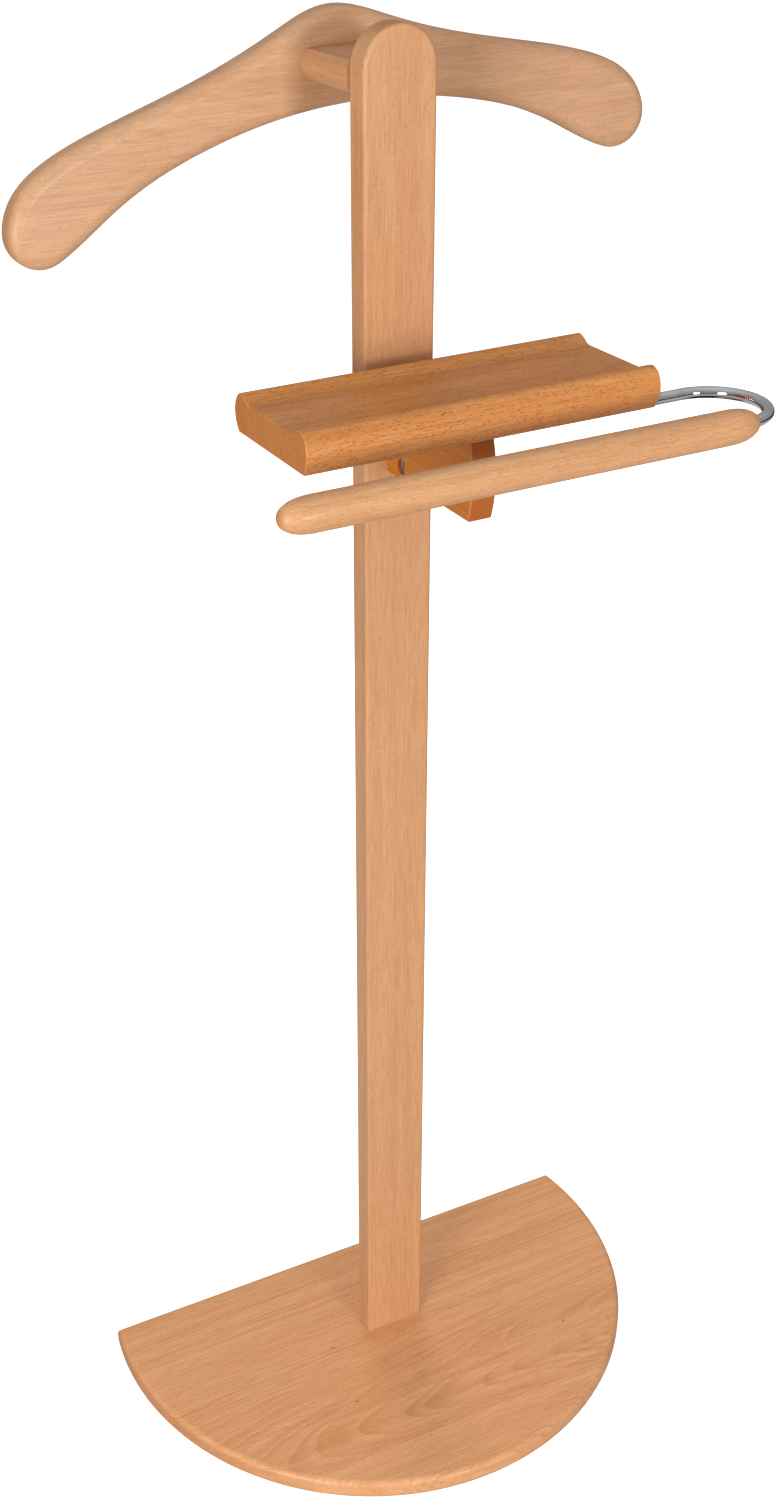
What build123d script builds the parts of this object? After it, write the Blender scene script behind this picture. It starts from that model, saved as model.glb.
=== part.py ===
from build123d import *
from math import cos, radians, sin
import os

# Valet stand in solid beech, in millimetres. +Z is up, +Y is the back, -Y the front with the tray,
# and +X is the side that the chrome rod bends round on. The origin is on the floor, at the middle of
# the base board's footprint.

# Base board: half-round, straight along the back
base_depth = 272.0
base_radius = 227.5
base_thick = 18.0
base_top_round = 5.0
base_bottom_round = 6.0
base_corner_round = 1.0
base_back = base_depth / 2
base_circle_y = base_radius - base_depth / 2

# Post: a flat board with a half-round top
post_width = 52.0
post_thick = 20.0
post_edge_round = 2.5
post_front = 33.0
post_back = post_front + post_thick
post_mid = post_front + post_thick / 2
post_top = 1094.6

# The moulding that the spacer block and the bracket are cut from: how far its rounded side swells out
side_bulge = 4.5

# Hanger, and the block that holds it off the post
bolt_axis_z = 1063.5
hanger_tilt = 3.75
joint_gap = 0.2
spacer_height = 19.0
spacer_half_flat = 24.8
spacer_length = 59.8
hanger_thick = 24.0
hanger_edge_round = 9.0
hanger_front = post_back + spacer_length + joint_gap
hanger_back = hanger_front + hanger_thick
hanger_crown = (0.0, 33.1)
hanger_shoulder = [
    (18, 30.1), (36, 23.1), (60, 13.5), (105, -1.1), (154, -13.9), (190, -24.5), (214, -35.3), (230, -48.8),
]
hanger_belly = [(164, -67.5), (141, -56.0), (96, -41.0), (52, -32.2)]
hanger_keel = (0.0, -28.7)
paddle_centre = (216.1, -71.7)
paddle_radius = 22.7
paddle_top_angle = 7.9
paddle_bottom_angle = -114.6

# Tray: a board milled with a shallow trough between two rounded rims, open at both ends
tray_length = 251.6
tray_bottom = 864.0
tray_mid_y = post_front - 63.7
tray_floor = 21.6
tray_floor_half = 28.5
tray_foot_half = 46.0
tray_rim = [(50.7, 8.0), (51.2, 14.5), (49.3, 21.2), (45.6, 25.3), (41.0, 26.6), (36.6, 25.3), (33.2, 23.0)]
tray_foot_way = (0.6, 0.8)
tray_end_bevel = 0.7

# Bracket block under the tray
bracket_width = 18.0
bracket_length = 105.0
bracket_bottom = 810.0
bracket_edge_round = 1.5
bracket_end = post_front - bracket_length

# Chrome rod and the trouser bar on its free end
rod_radius = 4.0
rod_sunk = 0.5
rod_z = tray_bottom + rod_sunk - rod_radius
rod_leg_y = post_front - 88.5
rod_end_x = 0.5 - bracket_width / 2
bar_y = post_front - 157.4
bend_start_x = 161.4
bend_radius = (rod_leg_y - bar_y) / 2
rod_in_bar_x = 121.0
bar_left_x = -166.0
bar_right_x = 169.7
bar_radius = 11.4
bar_taper = 24.0
bar_end_radius = 8.5
bar_end_dome = 6.5
bar_end_slope = -0.5

# Fasteners
dowel_radius = 4.0
dowel_chamfer = 0.8
base_screw_x = 15.0
base_screw_radius = 2.5
base_screw_head_radius = 5.0
base_screw_head_height = 3.4
base_screw_length = 60.0
base_screw_sunk = 0.5
base_dowel_start = 6.0
base_dowel_end = 40.0
nut_radius = 4.9
nut_hole_radius = 5.4
nut_y = post_front - 19.2
nut_z = 820.0
nut_recess = 1.5
nut_length = 13.0
nut_slot_width = 1.4
nut_slot_depth = 1.2
bolt_radius = 3.0
clearance_radius = 3.25
running_radius = 3.08
bolt_head_radius = 8.0
bolt_head_height = 2.4
bolt_head_round = 1.0
hex_across = 4.0
hex_depth = 2.0
bracket_bolt_length = 50.0
bracket_dowel_z = 846.0
bracket_dowel_in_post = 12.0
bracket_dowel_in_block = 18.0
tray_screw_rear_y = post_front - 38.0
tray_screw_radius = 2.0
tray_screw_head_radius = 4.0
tray_screw_crown_radius = 3.2
tray_screw_head_height = 2.6
tray_screw_length = 45.0
tray_screw_in_tray = 14.0
tray_screw_recess_radius = 4.5
hanger_recess_radius = 11.0
hanger_recess_depth = 5.0
washer_radius = 9.0
washer_thick = 1.4
hanger_bolt_length = 90.0
insert_radius = 4.75
insert_length = 12.0
spacer_dowel_x = 15.0
spacer_dowel_radius = 3.0
spacer_dowel_in_post = 10.0
spacer_dowel_in_block = 14.0

LOW = (Align.CENTER, Align.CENTER, Align.MIN)


def round_bar(start, end, radius):
    """A cylinder of the given radius from one point to another."""
    run = Vector(*end) - Vector(*start)
    return Plane(origin=start, z_dir=run) * Cylinder(radius, run.length, align=LOW)


def far_edge(solid, way):
    """The round edge of a solid that lies furthest along a direction."""
    return max(solid.edges().filter_by(GeomType.CIRCLE), key=lambda edge: edge.center().dot(way))


def bulged_block(half_flat, height):
    """The outline of the moulding: a rectangle whose two short sides swell out as shallow arcs."""
    half = height / 2
    top = Line((-half_flat, half), (half_flat, half))
    right = ThreePointArc((half_flat, half), (half_flat + side_bulge, 0), (half_flat, -half))
    bottom = Line((half_flat, -half), (-half_flat, -half))
    left = ThreePointArc((-half_flat, -half), (-half_flat - side_bulge, 0), (-half_flat, half))
    return make_face(top + right + bottom + left)


def dowel_pin(start, end, radius):
    """A dowel pin with chamfered ends."""
    pin = round_bar(start, end, radius)
    return chamfer(pin.edges().filter_by(GeomType.CIRCLE), dowel_chamfer)


def wood_screw(tip, way, length, radius, head_height, outer_radius, neck_radius):
    """A pointed screw with a cross recess. Its head tapers from its outer face, length back from the tip."""
    tip = Vector(*tip)
    way = Vector(*way)
    outer = tip - way * length
    point_length = 2.2 * radius
    shank = round_bar(outer, tip - way * point_length, radius)
    point = Plane(origin=tip - way * point_length, z_dir=way) * Cone(radius, 0.3, point_length, align=LOW)
    head = Plane(origin=outer, z_dir=way) * Cone(outer_radius, neck_radius, head_height, align=LOW)
    screw = shank + point + head
    for turn in (0, 90):
        blade = Box(2.0 * radius, 0.4 * radius, 0.6 * head_height, align=LOW)
        screw -= Plane(origin=outer, z_dir=way) * Rot(0, 0, turn) * blade
    return screw


def furniture_bolt(seat, way, length):
    """A bolt with a wide flat head and a hexagon socket. Its shank runs from the head's seat along way."""
    seat = Vector(*seat)
    way = Vector(*way)
    outer = seat - way * bolt_head_height
    shank = round_bar(seat, seat + way * length, bolt_radius)
    shank = chamfer(far_edge(shank, way), 0.6)
    head = round_bar(outer, seat, bolt_head_radius)
    head = fillet(far_edge(head, way * -1), bolt_head_round)
    socket = Plane(origin=outer, z_dir=way) * RegularPolygon(hex_across / 2, 6, major_radius=False)
    return shank + head - extrude(socket, hex_depth)


def base_board():
    """The half-round floor board, drilled from below for the two screws and the dowel."""
    circle = Pos(0, base_circle_y) * Circle(base_radius)
    strip = Pos(0, (base_back - base_radius) / 2) * Rectangle(3 * base_radius, base_back + base_radius)
    board = extrude(circle & strip, base_thick)
    corners = board.edges().filter_by(Axis.Z).group_by(Axis.Y)[-1]
    board = fillet(corners, base_corner_round)
    board = fillet(board.edges().group_by(Axis.Z)[-1], base_top_round)
    board = fillet(board.edges().group_by(Axis.Z)[0], base_bottom_round)
    for x in (-base_screw_x, base_screw_x):
        board -= round_bar((x, post_mid, 0), (x, post_mid, base_thick), base_screw_radius)
        board -= round_bar((x, post_mid, 0), (x, post_mid, base_screw_sunk), base_screw_head_radius)
        board -= Pos(x, post_mid, base_screw_sunk) * Cone(
            base_screw_head_radius, base_screw_radius, base_screw_head_height, align=LOW
        )
    board -= round_bar((0, post_mid, base_dowel_start), (0, post_mid, base_thick), dowel_radius)
    return board


def post():
    """The upright board with its half-round top and the holes for everything fastened to it."""
    half = post_width / 2
    spring_z = post_top - half
    outline = Plane.XZ * (
        Pos(0, (base_thick + spring_z) / 2) * Rectangle(post_width, spring_z - base_thick)
        + Pos(0, spring_z) * Circle(half)
    )
    board = extrude(Pos(0, post_back, 0) * outline, post_thick)
    faces = board.faces().sort_by(Axis.Y)
    long_edges = [edge for face in (faces[0], faces[-1]) for edge in face.edges()
                  if edge.center().Z > base_thick + 1]
    board = fillet(long_edges, post_edge_round)
    for x in (-base_screw_x, base_screw_x):
        board -= round_bar(
            (x, post_mid, base_thick), (x, post_mid, base_screw_sunk + base_screw_length), base_screw_radius
        )
    board -= round_bar((0, post_mid, base_thick), (0, post_mid, base_dowel_end), dowel_radius)
    board -= round_bar((0, post_front, nut_z), (0, post_back, nut_z), clearance_radius)
    dowel_y = post_front + bracket_dowel_in_post
    board -= round_bar((0, post_front, bracket_dowel_z), (0, dowel_y, bracket_dowel_z), dowel_radius)
    insert_y = post_back - insert_length
    board -= round_bar((0, insert_y, bolt_axis_z), (0, post_back, bolt_axis_z), insert_radius)
    pin_y = post_back - spacer_dowel_in_post
    for x in (-spacer_dowel_x, spacer_dowel_x):
        board -= round_bar((x, pin_y, bolt_axis_z), (x, post_back, bolt_axis_z), spacer_dowel_radius)
    return board


def spacer_block():
    """The level block behind the post, a length of the moulding, bored for the bolt and two dowels."""
    end_y = post_back + spacer_length
    outline = Plane.XZ * bulged_block(spacer_half_flat, spacer_height)
    block = extrude(Pos(0, end_y, bolt_axis_z) * outline, spacer_length)
    block -= round_bar((0, post_back, bolt_axis_z), (0, end_y, bolt_axis_z), clearance_radius)
    pin_y = post_back + spacer_dowel_in_block
    for x in (-spacer_dowel_x, spacer_dowel_x):
        block -= round_bar((x, post_back, bolt_axis_z), (x, pin_y, bolt_axis_z), spacer_dowel_radius)
    return block


def paddle_end(angle):
    """The point of the hanger's round end at an angle from +X, and the direction of its edge there."""
    turn = radians(angle)
    place = (paddle_centre[0] + paddle_radius * cos(turn), paddle_centre[1] + paddle_radius * sin(turn))
    return place, (sin(turn), -cos(turn))


def hanger():
    """The coat hanger board: drawn level about its bolt, mirrored, rounded over, bored and tilted."""
    top_end, top_way = paddle_end(paddle_top_angle)
    middle, _ = paddle_end((paddle_top_angle + paddle_bottom_angle) / 2)
    bottom_end, bottom_way = paddle_end(paddle_bottom_angle)
    top = Spline(hanger_crown, *hanger_shoulder, top_end, tangents=[(1, 0), top_way], tangent_scalars=[1, 1])
    paddle = ThreePointArc(top_end, middle, bottom_end)
    bottom = Spline(
        bottom_end, *hanger_belly, hanger_keel, tangents=[bottom_way, (-1, 0)], tangent_scalars=[1, 1]
    )
    half = make_face(top + paddle + bottom + Line(hanger_keel, hanger_crown))
    outline = Plane.XZ * (half + mirror(half, Plane.YZ))
    board = extrude(Pos(0, hanger_back, bolt_axis_z) * outline, hanger_thick)
    rims = board.edges().filter_by(Plane.XZ)
    board = fillet(rims, hanger_edge_round)
    board -= round_bar((0, hanger_front, bolt_axis_z), (0, hanger_back, bolt_axis_z), running_radius)
    recess_y = hanger_back - hanger_recess_depth
    board -= round_bar((0, recess_y, bolt_axis_z), (0, hanger_back, bolt_axis_z), hanger_recess_radius)
    return board.rotate(Axis((0, 0, bolt_axis_z), (0, -1, 0)), hanger_tilt)


def tray():
    """The tray: one moulded section along X, with a shallow groove below for the chrome rod."""
    foot = (tray_foot_half, 0)
    trough_edge = (tray_floor_half, tray_floor)
    rim = Spline(foot, *tray_rim, trough_edge, tangents=[tray_foot_way, (-1, 0)], tangent_scalars=[1, 1])
    half = make_face(rim + Polyline(trough_edge, (0, tray_floor), (0, 0), foot))
    outline = half + mirror(half, Plane.YZ)
    section = Plane(origin=(-tray_length / 2, tray_mid_y, tray_bottom), x_dir=(0, 1, 0), z_dir=(1, 0, 0))
    board = extrude(section * outline, tray_length)
    ends = board.edges().filter_by(Plane.YZ)
    board = chamfer(ends, tray_end_bevel)
    board -= round_bar((rod_end_x, rod_leg_y, rod_z), (tray_length, rod_leg_y, rod_z), rod_radius)
    for y in (tray_screw_rear_y, rod_leg_y):
        hole_top = (0, y, tray_bottom + tray_screw_in_tray)
        board -= round_bar((0, y, tray_bottom - 1), hole_top, tray_screw_radius)
    return board


def tray_bracket():
    """The bracket block: rounded nose, and holes for its bolt, nut, dowel, screws and the rod."""
    height = tray_bottom - bracket_bottom
    mid_z = bracket_bottom + height / 2
    corner_top = (bracket_end, tray_bottom)
    corner_bottom = (bracket_end, bracket_bottom)
    nose = ThreePointArc(corner_top, (bracket_end - side_bulge, mid_z), corner_bottom)
    lines = Polyline(corner_bottom, (post_front, bracket_bottom), (post_front, tray_bottom), corner_top)
    section = Plane(origin=(-bracket_width / 2, 0, 0), x_dir=(0, 1, 0), z_dir=(1, 0, 0))
    block = extrude(section * make_face(nose + lines), bracket_width)
    free_edges = [edge for edge in block.edges().filter_by(Plane.YZ)
                  if edge.center().Z < tray_bottom - 1 and edge.center().Y < post_front - 1]
    block = fillet(free_edges, bracket_edge_round)
    bolt_end = post_back - bracket_bolt_length - 1
    block -= round_bar((0, bolt_end, nut_z), (0, post_front, nut_z), clearance_radius)
    nut_end = nut_length + nut_recess - bracket_width / 2
    block -= round_bar((-bracket_width, nut_y, nut_z), (nut_end, nut_y, nut_z), nut_hole_radius)
    dowel_y = post_front - bracket_dowel_in_block
    block -= round_bar((0, dowel_y, bracket_dowel_z), (0, post_front, bracket_dowel_z), dowel_radius)
    block -= round_bar((-bracket_width, rod_leg_y, rod_z), (bracket_width, rod_leg_y, rod_z), rod_radius)
    head_z = tray_bottom + tray_screw_in_tray - tray_screw_length
    seat_z = head_z + tray_screw_head_height
    for y in (tray_screw_rear_y, rod_leg_y):
        block -= round_bar((0, y, bracket_bottom - 1), (0, y, seat_z), tray_screw_recess_radius)
        block -= round_bar((0, y, seat_z), (0, y, tray_bottom + 1), tray_screw_radius)
    return block


def barrel_nut():
    """The cross dowel in the bracket, slotted at its open end and tapped for the bolt."""
    start_x = nut_recess - bracket_width / 2
    nut = round_bar((start_x, nut_y, nut_z), (start_x + nut_length, nut_y, nut_z), nut_radius)
    nut = chamfer(nut.edges().filter_by(GeomType.CIRCLE), 0.4)
    slot = Box(2 * nut_slot_depth, nut_slot_width, 3 * nut_radius)
    nut -= Pos(start_x, nut_y, nut_z) * Rot(25, 0, 0) * slot
    return nut - round_bar((0, post_front, nut_z), (0, -post_front, nut_z), bolt_radius)


def tray_screws():
    """The screws up through the bracket: one holds the tray, the other the tray and the rod."""
    tip_z = tray_bottom + tray_screw_in_tray
    return [
        wood_screw((0, y, tip_z), (0, 0, 1), tray_screw_length, tray_screw_radius, tray_screw_head_height,
                   tray_screw_crown_radius, tray_screw_head_radius)
        for y in (tray_screw_rear_y, rod_leg_y)
    ]


def bent_rod():
    """The rod's bare bend: a leg under the tray, a half-circle and a tail inside the bar."""
    leg_start = (rod_end_x, rod_leg_y)
    leg_end = (bend_start_x, rod_leg_y)
    tail_start = (bend_start_x, bar_y)
    leg = Line(leg_start, leg_end)
    bend = ThreePointArc(leg_end, (bend_start_x + bend_radius, (rod_leg_y + bar_y) / 2), tail_start)
    tail = Line(tail_start, (rod_in_bar_x, bar_y))
    path = Pos(0, 0, rod_z) * (leg + bend + tail)
    start = Plane(origin=(rod_end_x, rod_leg_y, rod_z), z_dir=(1, 0, 0))
    return sweep(start * Circle(rod_radius), path)


def trouser_rod():
    """The chrome rod, chamfered at its end in the bracket and cross-drilled for the screw that locks it."""
    rod = bent_rod()
    rod = chamfer(rod.edges().filter_by(GeomType.CIRCLE).filter_by(Plane.YZ).group_by(Axis.X)[0], 0.5)
    return rod - round_bar((0, rod_leg_y, rod_z - 9), (0, rod_leg_y, rod_z + 9), tray_screw_radius)


def trouser_bar():
    """The turned bar: a round stick that tapers to a domed end on each side, bored for the bent rod."""
    middle = (bar_left_x + bar_right_x) / 2
    half = (bar_right_x - bar_left_x) / 2
    taper_start = (half - bar_taper, bar_radius)
    dome_start = (half - bar_end_dome, bar_end_radius)
    tip = (half, 0)
    right = Line((0, bar_radius), taper_start)
    right += Spline(taper_start, dome_start, tangents=[(1, 0), (1, bar_end_slope)])
    right += Spline(dome_start, tip, tangents=[(1, bar_end_slope), (0, -1)])
    section = make_face(right + Polyline(tip, (0, 0), (0, bar_radius)))
    section = section + mirror(section, Plane.YZ)
    bar = Pos(middle, bar_y, rod_z) * revolve(section, Axis.X)
    return bar - bent_rod()


def base_screws():
    """The two countersunk screws up through the base board into the end of the post."""
    tip_z = base_screw_sunk + base_screw_length
    return [
        wood_screw((x, post_mid, tip_z), (0, 0, 1), base_screw_length, base_screw_radius,
                   base_screw_head_height, base_screw_head_radius, base_screw_radius)
        for x in (-base_screw_x, base_screw_x)
    ]


def post_insert():
    """The threaded insert let into the back of the post."""
    front_y = post_back - insert_length
    sleeve = round_bar((0, front_y, bolt_axis_z), (0, post_back, bolt_axis_z), insert_radius)
    return sleeve - round_bar((0, front_y, bolt_axis_z), (0, post_back, bolt_axis_z), bolt_radius)


def hanger_washer():
    """The washer between the bolt's head and the floor of the hanger's recess."""
    start_y = hanger_back - hanger_recess_depth + joint_gap
    disc = round_bar((0, start_y, bolt_axis_z), (0, start_y + washer_thick, bolt_axis_z), washer_radius)
    return disc - round_bar((0, start_y, bolt_axis_z), (0, hanger_back, bolt_axis_z), bolt_radius)


def spacer_dowels():
    """The two dowel pins that keep the spacer block level on the post."""
    start_y = post_back - spacer_dowel_in_post
    end_y = post_back + spacer_dowel_in_block
    return [
        dowel_pin((x, start_y, bolt_axis_z), (x, end_y, bolt_axis_z), spacer_dowel_radius)
        for x in (-spacer_dowel_x, spacer_dowel_x)
    ]


def bracket_dowel():
    """The dowel pin that keeps the bracket from turning on its one bolt."""
    start_y = post_front - bracket_dowel_in_block
    end_y = post_front + bracket_dowel_in_post
    return dowel_pin((0, start_y, bracket_dowel_z), (0, end_y, bracket_dowel_z), dowel_radius)


hanger_bolt_seat = hanger_back - hanger_recess_depth + joint_gap + washer_thick
pieces = {
    "base_board": base_board(),
    "post": post(),
    "spacer_block": spacer_block(),
    "hanger": hanger(),
    "tray": tray(),
    "tray_bracket": tray_bracket(),
    "barrel_nut": barrel_nut(),
    "trouser_rod": trouser_rod(),
    "trouser_bar": trouser_bar(),
    "base_screws": base_screws(),
    "base_dowel": dowel_pin((0, post_mid, base_dowel_start), (0, post_mid, base_dowel_end), dowel_radius),
    "bracket_bolt": furniture_bolt((0, post_back, nut_z), (0, -1, 0), bracket_bolt_length),
    "bracket_dowel": bracket_dowel(),
    "tray_screws": tray_screws(),
    "post_insert": post_insert(),
    "spacer_dowels": spacer_dowels(),
    "hanger_bolt": furniture_bolt((0, hanger_bolt_seat, bolt_axis_z), (0, -1, 0), hanger_bolt_length),
    "hanger_washer": hanger_washer(),
}

os.makedirs("parts", exist_ok=True)
for name, piece in pieces.items():
    if isinstance(piece, list):
        piece = Compound(children=[item.solid() for item in piece])
    else:
        piece = piece.solid()
    export_step(piece, f"parts/{name}.step")
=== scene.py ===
import math

import bpy
from mathutils import Matrix, Vector

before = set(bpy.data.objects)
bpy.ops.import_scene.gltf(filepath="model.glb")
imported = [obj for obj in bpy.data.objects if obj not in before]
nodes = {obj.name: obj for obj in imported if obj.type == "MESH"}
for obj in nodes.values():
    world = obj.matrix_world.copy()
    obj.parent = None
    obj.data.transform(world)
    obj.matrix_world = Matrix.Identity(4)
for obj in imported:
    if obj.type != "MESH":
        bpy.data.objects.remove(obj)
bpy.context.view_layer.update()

# Camera, in the part's frame: metres, degrees and millimetres of lens
CAMERA_PLACE = (-0.5849, -1.0221, 1.2550)
CAMERA_YAW = 23.87
CAMERA_PITCH = 28.96
CAMERA_ROLL = -2.204
CAMERA_LENS = 44.842
CAMERA_SHIFT = (0.0922, 0.0063)


# ---------------------------------------------------------------- node helpers

class Shader:
    """A node tree with one Principled shader, and short ways to add the nodes that feed it."""

    def __init__(self, name):
        self.material = bpy.data.materials.new(name)
        self.material.use_nodes = True
        self.tree = self.material.node_tree
        self.principled = self.tree.nodes["Principled BSDF"]

    def node(self, kind, **settings):
        made = self.tree.nodes.new("ShaderNode" + kind)
        for key, value in settings.items():
            setattr(made, key, value)
        return made

    def feed(self, socket, value):
        """Joins an output to a socket, or sets the socket to a plain value."""
        if isinstance(value, bpy.types.NodeSocket):
            self.tree.links.new(value, socket)
        else:
            socket.default_value = value

    def math(self, operation, a, b=0.0, c=0.0):
        made = self.node("Math", operation=operation)
        for socket, value in zip(made.inputs, (a, b, c)):
            self.feed(socket, value)
        return made.outputs[0]

    def add(self, *values):
        total = values[0]
        for value in values[1:]:
            total = self.math("ADD", total, value)
        return total

    def times(self, a, b):
        return self.math("MULTIPLY", a, b)

    def join(self, x, y, z):
        made = self.node("CombineXYZ")
        for socket, value in zip(made.inputs, (x, y, z)):
            self.feed(socket, value)
        return made.outputs[0]

    def scaled(self, where, sizes):
        made = self.node("VectorMath", operation="MULTIPLY")
        self.feed(made.inputs[0], where)
        self.feed(made.inputs[1], sizes)
        return made.outputs["Vector"]

    def noise(self, where, detail=2.0, rough=0.5):
        made = self.node("TexNoise")
        self.feed(made.inputs["Vector"], where)
        self.feed(made.inputs["Scale"], 1.0)
        self.feed(made.inputs["Detail"], detail)
        self.feed(made.inputs["Roughness"], rough)
        return made.outputs[0]

    def spread(self, value, low, high, out_low=0.0, out_high=1.0, smooth=True):
        """Stretches the part of a value between low and high over a new range."""
        made = self.node("MapRange", interpolation_type="SMOOTHSTEP" if smooth else "LINEAR")
        for socket, number in zip(made.inputs, (value, low, high, out_low, out_high)):
            self.feed(socket, number)
        return made.outputs[0]

    def choose(self, index, first, values):
        """The value in a list that a whole number picks, counting from first, or 0 outside the list."""
        picked = 0.0
        for place, value in enumerate(values):
            here = self.math("COMPARE", index, first + place, 0.3)
            picked = self.add(self.times(here, value), picked)
        return picked

    def mix(self, factor, a, b):
        made = self.node("Mix", data_type="RGBA")
        self.feed(made.inputs["Factor"], factor)
        self.feed(made.inputs["A"], (*a, 1.0) if isinstance(a, tuple) else a)
        self.feed(made.inputs["B"], (*b, 1.0) if isinstance(b, tuple) else b)
        return made.outputs["Result"]

    def bump(self, height, strength, distance):
        made = self.node("Bump")
        self.feed(made.inputs["Height"], height)
        self.feed(made.inputs["Strength"], strength)
        self.feed(made.inputs["Distance"], distance)
        self.feed(self.principled.inputs["Normal"], made.outputs[0])

    def set(self, **values):
        """Sets Principled sockets by name, with underscores for the spaces."""
        for key, value in values.items():
            self.feed(self.principled.inputs[key.replace("_", " ")], value)


def tint(colour, factors):
    return tuple(part * factor for part, factor in zip(colour, factors))


# ---------------------------------------------------------------- materials

# The base board's staves, from the front: how far each one's middle lies from the tree's centre, across and
# through the board, how fast the grain runs away from that centre, and how much darker than the palest it is
FIRST_STAVE = -1.0
SECOND_STAVE_START = -0.0867
BASE_STAVE_WIDTH = 0.0555
STAVE_SHIFT = 1.37
SEAM_SHARE = 0.014
BASE_STAVE_CENTRE = (-0.15, 0.006, 0.034, 0.13, 0.075)
BASE_STAVE_DEPTH = (0.05, 0.030, 0.040, 0.06, 0.035)
BASE_STAVE_DRIFT = (0.00, -0.075, -0.060, 0.01, -0.020)
BASE_STAVE_TONE = (0.00, 0.10, 0.12, 0.00, 0.06)

# Small dark marks in the base board's top, and half of one's length and width
BASE_SPECKS = ((-0.072, -0.032), (0.132, -0.033), (-0.063, 0.030))
SPECK_LENGTH = 0.0030
SPECK_WIDTH = 0.0012

# How fine each layer of the grain is, along the board and across it, in features per metre
WANDER_GRAIN = (5.0, 22.0)
RING_PATCH_GRAIN = (3.0, 40.0)
BAND_GRAIN = (1.7, 75.0)
STREAK_ALONG = 5.5
FIBRE_GRAIN = (45.0, 1100.0)
FLECK_GRAIN = (230.0, 1250.0)
FLECK_PATCH_GRAIN = (70.0, 260.0)
PINK_GRAIN = (2.4, 55.0)

# How far the rings wander, in metres, and how uneven their widths are
WANDER = 0.011
UNEVEN_SCALE = 260.0
UNEVENNESS = 2.2

# What each layer does to the red, green and blue of the wood
PINK_TINT = (0.95, 0.86, 0.98)
FIBRE_TINT = (0.78, 0.68, 0.58)
FLECK_TINT = (0.62, 0.50, 0.42)
END_GRAIN_TINT = (0.80, 0.62, 0.46)
SPECK_TINT = (0.45, 0.36, 0.30)
SEAM_TINT = (0.8, 0.7, 0.6)

LACQUER_SPECULAR = 0.3
LACQUER_ROUGHNESS = 0.25
WOOD_BUMP = 0.22
WOOD_BUMP_HEIGHT = 0.0003

CHROME_DARK = (0.62, 0.63, 0.65)
CHROME_BRIGHT = (0.78, 0.79, 0.80)
ZINC_DARK = (0.36, 0.36, 0.37)
ZINC_BRIGHT = (0.56, 0.56, 0.55)


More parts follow.
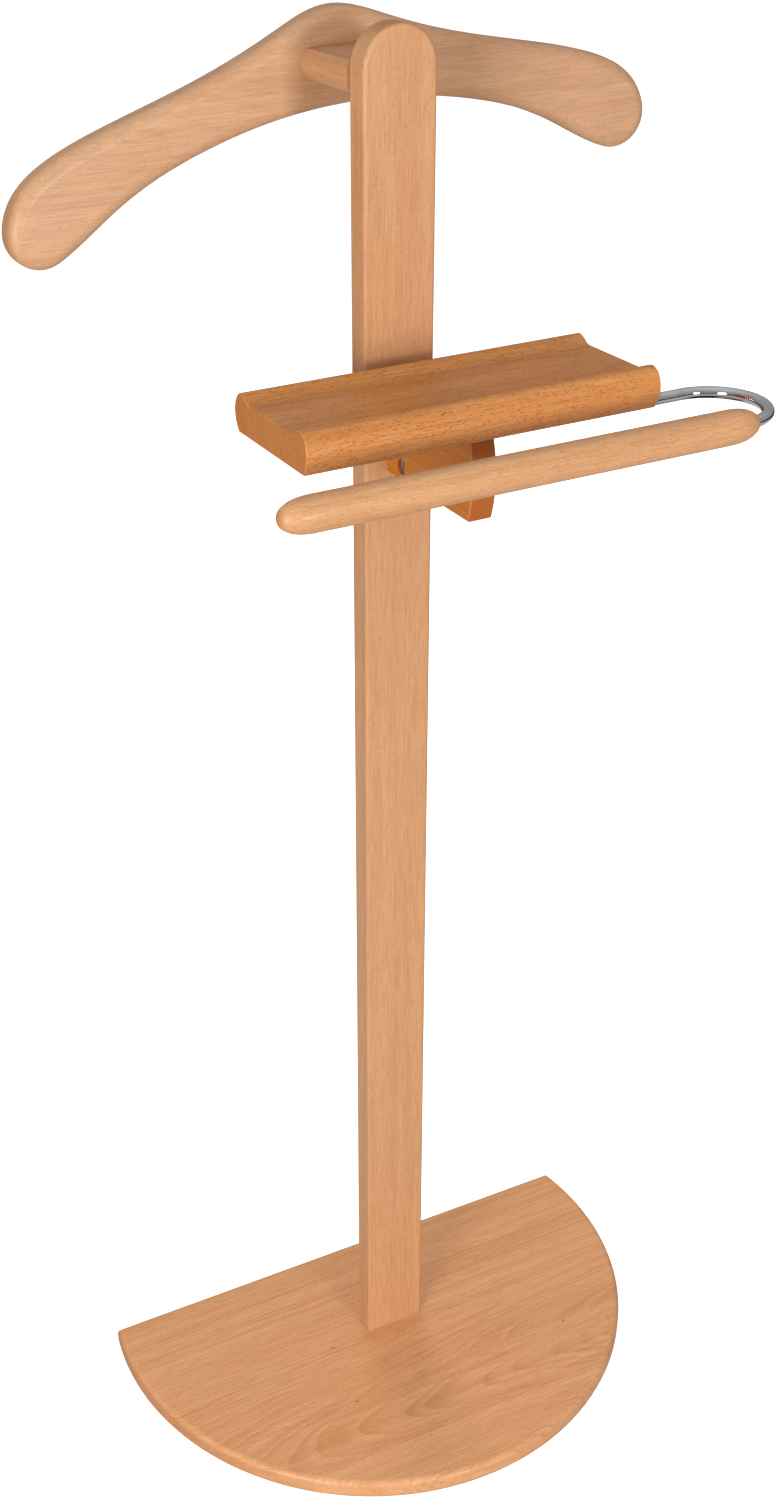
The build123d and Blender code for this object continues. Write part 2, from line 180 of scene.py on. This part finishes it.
def beech(name, order, light, dark, centre=(0.1, 0.05), drift=(0.0, 0.0), ring=0.0024, ring_depth=0.3,
          fleck=0.35, streaks=(420.0, 0.30), end_dark=0.45, coat=0.2, staves=False, specks=(), seed=0.0):
    """Lacquered beech. order names the part's axes along, across and through the board. centre is how far
    the part's origin lies from the tree's centre, across and through, and drift is how fast the grain runs
    away from it. streaks are how fine and how strong the streaks along the grain are, and specks are places
    on a top face."""
    s = Shader(name)
    coords = s.node("TexCoord")
    split = s.node("SeparateXYZ")
    s.feed(split.inputs[0], coords.outputs["Object"])
    axes = dict(zip("XYZ", split.outputs))
    along, across, deep = (axes[letter] for letter in order)
    centre_across, centre_deep = centre
    drift_across, drift_deep = drift
    stave_tone = 0.0
    seam = None
    if staves:
        steps = s.math("DIVIDE", s.math("SUBTRACT", across, SECOND_STAVE_START), BASE_STAVE_WIDTH)
        index = s.math("FLOOR", steps)
        within = s.math("FRACT", steps)
        edge_distance = s.math("MINIMUM", within, s.math("SUBTRACT", 1.0, within))
        seam = s.spread(edge_distance, 0.0, SEAM_SHARE, 1.0, 0.0)
        across = s.times(s.math("SUBTRACT", within, 0.5), BASE_STAVE_WIDTH)
        along = s.add(along, s.times(index, STAVE_SHIFT))
        centre_across = s.choose(index, FIRST_STAVE, BASE_STAVE_CENTRE)
        centre_deep = s.choose(index, FIRST_STAVE, BASE_STAVE_DEPTH)
        drift_deep = s.choose(index, FIRST_STAVE, BASE_STAVE_DRIFT)
        stave_tone = s.choose(index, FIRST_STAVE, BASE_STAVE_TONE)

    def stretched(along_scale, cross_scale):
        return s.join(s.times(s.add(along, seed), along_scale), s.times(across, cross_scale),
                      s.times(deep, cross_scale))

    # Growth rings round the tree's centre, of uneven width, wandering along the board
    run = axes[order[0]]
    side = s.add(across, s.times(run, drift_across), centre_across)
    down = s.add(deep, s.times(run, drift_deep), centre_deep)
    wander = s.times(s.math("SUBTRACT", s.noise(stretched(*WANDER_GRAIN), 2.0), 0.5), WANDER)
    radius = s.add(s.math("SQRT", s.add(s.times(side, side), s.times(down, down))), wander)
    uneven = s.times(s.noise(s.join(s.times(radius, UNEVEN_SCALE), seed, 0.0), 1.0), UNEVENNESS)
    phase = s.math("FRACT", s.add(s.math("DIVIDE", radius, ring), uneven))
    late_wood = s.times(s.spread(phase, 0.30, 0.90), s.spread(phase, 0.90, 1.0, 1.0, 0.0))
    ring_strength = s.spread(s.noise(stretched(*RING_PATCH_GRAIN), 1.0), 0.3, 0.7, 0.35, 1.0)

    band = s.noise(stretched(*BAND_GRAIN), 2.0)
    streak_scale, streak_depth = streaks
    streak = s.noise(stretched(STREAK_ALONG, streak_scale), 3.0, 0.6)
    fibre = s.noise(stretched(*FIBRE_GRAIN), 2.0)
    dashes = s.node("TexVoronoi", feature="F1")
    s.feed(dashes.inputs["Vector"], stretched(*FLECK_GRAIN))
    s.feed(dashes.inputs["Scale"], 1.0)
    ray_fleck = s.times(s.spread(dashes.outputs["Distance"], 0.20, 0.42, 1.0, 0.0),
                        s.spread(s.noise(stretched(*FLECK_PATCH_GRAIN), 2.0), 0.34, 0.56))

    tone = s.add(s.spread(band, 0.28, 0.72, 0.0, 0.38), s.spread(streak, 0.30, 0.70, 0.0, streak_depth),
                 s.times(s.times(late_wood, ring_strength), ring_depth), stave_tone)
    colour = s.mix(tone, light, dark)
    pink = s.spread(s.noise(stretched(*PINK_GRAIN), 1.0), 0.42, 0.68, 0.0, 0.30)
    colour = s.mix(pink, colour, tint(light, PINK_TINT))
    colour = s.mix(s.spread(fibre, 0.36, 0.68, 0.0, 0.32), colour, tint(dark, FIBRE_TINT))
    colour = s.mix(s.times(ray_fleck, fleck), colour, tint(dark, FLECK_TINT))

    # End grain drinks more lacquer: darker, and rougher. Where end_dark is set high, as on the bracket's
    # nose, the extra darkness is painted shade
    facing = s.node("SeparateXYZ")
    s.feed(facing.inputs[0], coords.outputs["Normal"])
    turned = s.math("ABSOLUTE", facing.outputs["XYZ".index(order[0])])
    end_grain = s.spread(turned, 0.6, 0.97)
    colour = s.mix(s.times(end_grain, end_dark), colour, tint(dark, END_GRAIN_TINT))
    for x, y in specks:
        apart_x = s.math("DIVIDE", s.math("SUBTRACT", axes["X"], x), SPECK_LENGTH)
        apart_y = s.math("DIVIDE", s.math("SUBTRACT", axes["Y"], y), SPECK_WIDTH)
        distance = s.math("SQRT", s.add(s.times(apart_x, apart_x), s.times(apart_y, apart_y)))
        colour = s.mix(s.spread(distance, 0.3, 1.0, 0.75, 0.0), colour, tint(dark, SPECK_TINT))
    height = s.add(s.times(fibre, 0.6), s.times(streak, 0.4), s.times(ray_fleck, -0.5))
    if seam:
        colour = s.mix(s.times(seam, 0.30), colour, tint(dark, SEAM_TINT))
        height = s.add(height, s.times(seam, -0.8))
    rough = s.add(s.spread(streak, 0.25, 0.75, 0.44, 0.54, smooth=False), s.times(end_grain, 0.1))
    s.set(Base_Color=colour, Roughness=rough, Specular_IOR_Level=LACQUER_SPECULAR, Coat_Weight=coat,
          Coat_Roughness=LACQUER_ROUGHNESS)
    s.bump(height, WOOD_BUMP, WOOD_BUMP_HEIGHT)
    return s.material


def chrome(name):
    """Bright chrome plating with faint draw lines and a few dull specks."""
    s = Shader(name)
    where = s.node("TexCoord").outputs["Object"]
    lines = s.noise(s.scaled(where, (60.0, 900.0, 900.0)), 2.0)
    cloud = s.noise(s.scaled(where, (35.0, 35.0, 35.0)), 3.0)
    colour = s.mix(s.spread(cloud, 0.3, 0.7), CHROME_DARK, CHROME_BRIGHT)
    rough = s.add(s.spread(cloud, 0.3, 0.8, 0.03, 0.08), s.times(lines, 0.03))
    s.set(Base_Color=colour, Metallic=1.0, Roughness=rough)
    s.bump(lines, 0.04, 0.0001)
    return s.material


def plated(name):
    """Zinc plated steel: grey, slightly mottled, with fine turning marks."""
    s = Shader(name)
    where = s.node("TexCoord").outputs["Object"]
    cloud = s.noise(s.scaled(where, (220.0, 220.0, 220.0)), 4.0)
    marks = s.noise(s.scaled(where, (2600.0, 500.0, 2600.0)), 2.0)
    colour = s.mix(s.spread(cloud, 0.35, 0.7), ZINC_DARK, ZINC_BRIGHT)
    s.set(Base_Color=colour, Metallic=0.9, Roughness=s.spread(cloud, 0.3, 0.75, 0.28, 0.46))
    s.bump(marks, 0.15, 0.0001)
    return s.material


# ---------------------------------------------------------------- pieces and their finishes

TAN_LIGHT = (0.620, 0.330, 0.155)
TAN_DARK = (0.490, 0.230, 0.095)
PALE_LIGHT = (0.610, 0.358, 0.200)
PALE_DARK = (0.480, 0.249, 0.124)
# The base board's wood: partly its own tone, partly painted light, lightened beyond the post's to stand in
# for the light falling on its top face
BASE_LIGHT = (0.742, 0.386, 0.183)
BASE_DARK = (0.557, 0.250, 0.098)
ORANGE_LIGHT = (0.680, 0.298, 0.086)
ORANGE_DARK = (0.474, 0.171, 0.036)
# Painted shade: the bracket's wood colours are darker and deeper orange than the tray's, standing in for the
# shadow under the tray
BRACKET_PAINTED_SHADE_LIGHT = (0.60, 0.210, 0.027)
BRACKET_PAINTED_SHADE_DARK = (0.42, 0.124, 0.013)
HONEY_LIGHT = (0.66, 0.365, 0.175)
HONEY_DARK = (0.52, 0.245, 0.100)

finishes = {
    "base_board": beech("base beech", "XYZ", BASE_LIGHT, BASE_DARK, staves=True, ring=0.0030, ring_depth=0.5,
                        specks=BASE_SPECKS, seed=4.0),
    "post": beech("post beech", "ZXY", TAN_LIGHT, TAN_DARK, (0.03, 0.06), (0.010, 0.012), ring=0.0055,
                  ring_depth=0.16, streaks=(150.0, 0.22), seed=1.3),
    "spacer_block": beech("spacer beech", "YXZ", TAN_LIGHT, TAN_DARK, (0.01, 0.04), end_dark=0.15, seed=7.7),
    "hanger": beech("hanger beech", "XZY", PALE_LIGHT, PALE_DARK, (-1.0, 0.03), (0.05, 0.10), ring=0.006,
                    ring_depth=0.2, fleck=0.25, coat=0.1, seed=2.1),
    "tray": beech("tray beech", "XYZ", ORANGE_LIGHT, ORANGE_DARK, (0.03, -0.80), (0.05, 0.02), fleck=0.9,
                  coat=0.1, seed=5.2),
    # The bracket's colours are painted shade, and its strong end-grain darkening on the nose is painted
    # shade for the shadow of the tray and bar
    "tray_bracket": beech("bracket beech with painted shade", "YZX", BRACKET_PAINTED_SHADE_LIGHT, BRACKET_PAINTED_SHADE_DARK, (0.02, 0.03), fleck=0.3,
                          end_dark=0.8, coat=0.15, seed=9.1),
    "trouser_bar": beech("bar beech", "XYZ", HONEY_LIGHT, HONEY_DARK, (0.14, -0.84), fleck=0.45, seed=3.4),
}
dowel_finish = beech("dowel beech", "ZXY", HONEY_LIGHT, HONEY_DARK, (0.0, 0.02), seed=6.0)
for name in ("base_dowel", "bracket_dowel", "spacer_dowels"):
    finishes[name] = dowel_finish
finishes["trouser_rod"] = chrome("chrome")
steel_finish = plated("plated steel")
for name in ("barrel_nut", "base_screws", "bracket_bolt", "tray_screws", "post_insert", "hanger_bolt",
             "hanger_washer"):
    finishes[name] = steel_finish
for name, finish in finishes.items():
    mesh = nodes[name].data
    mesh.materials.clear()
    mesh.materials.append(finish)


# ---------------------------------------------------------------- floor, light and camera

def cove():
    """A round studio cove: a plain pale floor that curves up into a wall. It glows a little, and throws no
    light of its own on the object."""
    floor_radius = 14.0
    bend = 2.0
    wall_top = 9.0
    bend_steps = 12
    sides = 72
    profile = [(0.01, 0.0)]
    for step in range(bend_steps + 1):
        turn = math.pi / 2 * step / bend_steps
        profile.append((floor_radius + bend * math.sin(turn), bend - bend * math.cos(turn)))
    profile.append((floor_radius + bend, wall_top))
    places = []
    for radius, height in profile:
        for side in range(sides):
            turn = 2 * math.pi * side / sides
            places.append((radius * math.cos(turn), radius * math.sin(turn), height))
    faces = []
    for ring in range(len(profile) - 1):
        for side in range(sides):
            start = ring * sides + side
            following = ring * sides + (side + 1) % sides
            faces.append((start, following, following + sides, start + sides))
    faces.append(tuple(range(sides)))
    mesh = bpy.data.meshes.new("cove")
    mesh.from_pydata(places, [], faces)
    for face in mesh.polygons:
        face.use_smooth = True
    made = bpy.data.objects.new("cove", mesh)
    made.visible_diffuse = False
    made.visible_glossy = False
    bpy.context.scene.collection.objects.link(made)
    s = Shader("pale cove")
    s.set(Base_Color=(0.80, 0.80, 0.80, 1.0), Roughness=0.9, Specular_IOR_Level=0.1,
          Emission_Color=(1.0, 1.0, 1.0, 1.0), Emission_Strength=0.75)
    mesh.materials.append(s.material)


LIGHT_AIM = (0.0, 0.0, 0.60)


def soft_light(name, place, size, power, reflected=True):
    """A rectangular studio light aimed at the middle of the stand. One that isn't reflected lights surfaces
    but shows in no gloss."""
    data = bpy.data.lights.new(name, "AREA")
    data.shape = "RECTANGLE"
    data.size, data.size_y = size
    data.energy = power
    made = bpy.data.objects.new(name, data)
    made.location = place
    made.rotation_mode = "QUATERNION"
    made.rotation_quaternion = (Vector(LIGHT_AIM) - Vector(place)).to_track_quat("-Z", "Y")
    made.visible_camera = False
    made.visible_glossy = reflected
    bpy.context.scene.collection.objects.link(made)


# Brightness of the studio dome by the height looked towards, from straight down at -1 to straight up at 1
DOME_FOR_LIGHT = ((-1.0, 0.62), (-0.3, 0.50), (0.0, 0.24), (0.25, 0.22), (0.60, 0.52), (1.0, 1.0))
DOME_FOR_GLOSS = ((-1.0, 0.02), (-0.86, 0.03), (-0.78, 0.45), (-0.40, 0.50), (-0.30, 0.04), (-0.10, 0.04),
                  (0.02, 0.34), (0.30, 0.30), (0.60, 0.42), (1.0, 0.62))


def sky():
    """A studio dome, bright below and overhead. Glossy surfaces see a dome with dark bands in it, as the
    black cards of a studio give chrome its contrast."""
    world = bpy.data.worlds.new("studio")
    bpy.context.scene.world = world
    world.use_nodes = True
    tree = world.node_tree
    background = tree.nodes["Background"]
    coords = tree.nodes.new("ShaderNodeTexCoord")
    split = tree.nodes.new("ShaderNodeSeparateXYZ")
    rays = tree.nodes.new("ShaderNodeLightPath")
    chosen = tree.nodes.new("ShaderNodeMix")
    halved = tree.nodes.new("ShaderNodeMath")
    halved.operation = "MULTIPLY_ADD"
    halved.inputs[1].default_value = 0.5
    halved.inputs[2].default_value = 0.5
    tree.links.new(coords.outputs["Generated"], split.inputs[0])
    tree.links.new(split.outputs["Z"], halved.inputs[0])
    tree.links.new(rays.outputs["Is Glossy Ray"], chosen.inputs["Factor"])
    tree.links.new(chosen.outputs["Result"], background.inputs["Strength"])
    background.inputs["Color"].default_value = (1.0, 1.0, 1.0, 1.0)
    for socket, stops in (("A", DOME_FOR_LIGHT), ("B", DOME_FOR_GLOSS)):
        ramp = tree.nodes.new("ShaderNodeValToRGB")
        for _ in range(len(stops) - 2):
            ramp.color_ramp.elements.new(0.5)
        for element, (place, level) in zip(ramp.color_ramp.elements, stops):
            element.position = (place + 1.0) / 2.0
            element.color = (level, level, level, 1.0)
        tree.links.new(halved.outputs[0], ramp.inputs["Fac"])
        tree.links.new(ramp.outputs["Color"], chosen.inputs[socket])


def camera():
    data = bpy.data.cameras.new("camera")
    data.sensor_width = 36.0
    data.lens = CAMERA_LENS
    data.shift_x, data.shift_y = CAMERA_SHIFT
    data.clip_start = 0.05
    data.clip_end = 100.0
    yaw, pitch, roll = (math.radians(a) for a in (CAMERA_YAW, CAMERA_PITCH, CAMERA_ROLL))
    ahead = Vector((math.sin(yaw) * math.cos(pitch), math.cos(yaw) * math.cos(pitch), -math.sin(pitch)))
    level = Vector((math.cos(yaw), -math.sin(yaw), 0.0))
    above = level.cross(ahead)
    right = level * math.cos(roll) + above * math.sin(roll)
    up = above * math.cos(roll) - level * math.sin(roll)
    turn = Matrix((right, up, -ahead)).transposed()
    made = bpy.data.objects.new("camera", data)
    made.rotation_mode = "QUATERNION"
    made.rotation_quaternion = turn.to_quaternion()
    made.location = CAMERA_PLACE
    bpy.context.scene.collection.objects.link(made)
    bpy.context.scene.camera = made


cove()
sky()
soft_light("left box", (-2.30, -1.70, 0.95), (1.0, 1.3), 64)
soft_light("right box", (0.35, -3.10, 0.95), (0.7, 1.0), 45)
soft_light("back box", (0.70, 2.80, 1.50), (1.2, 1.4), 34, reflected=False)
camera()
bpy.context.scene.view_settings.view_transform = "Standard"
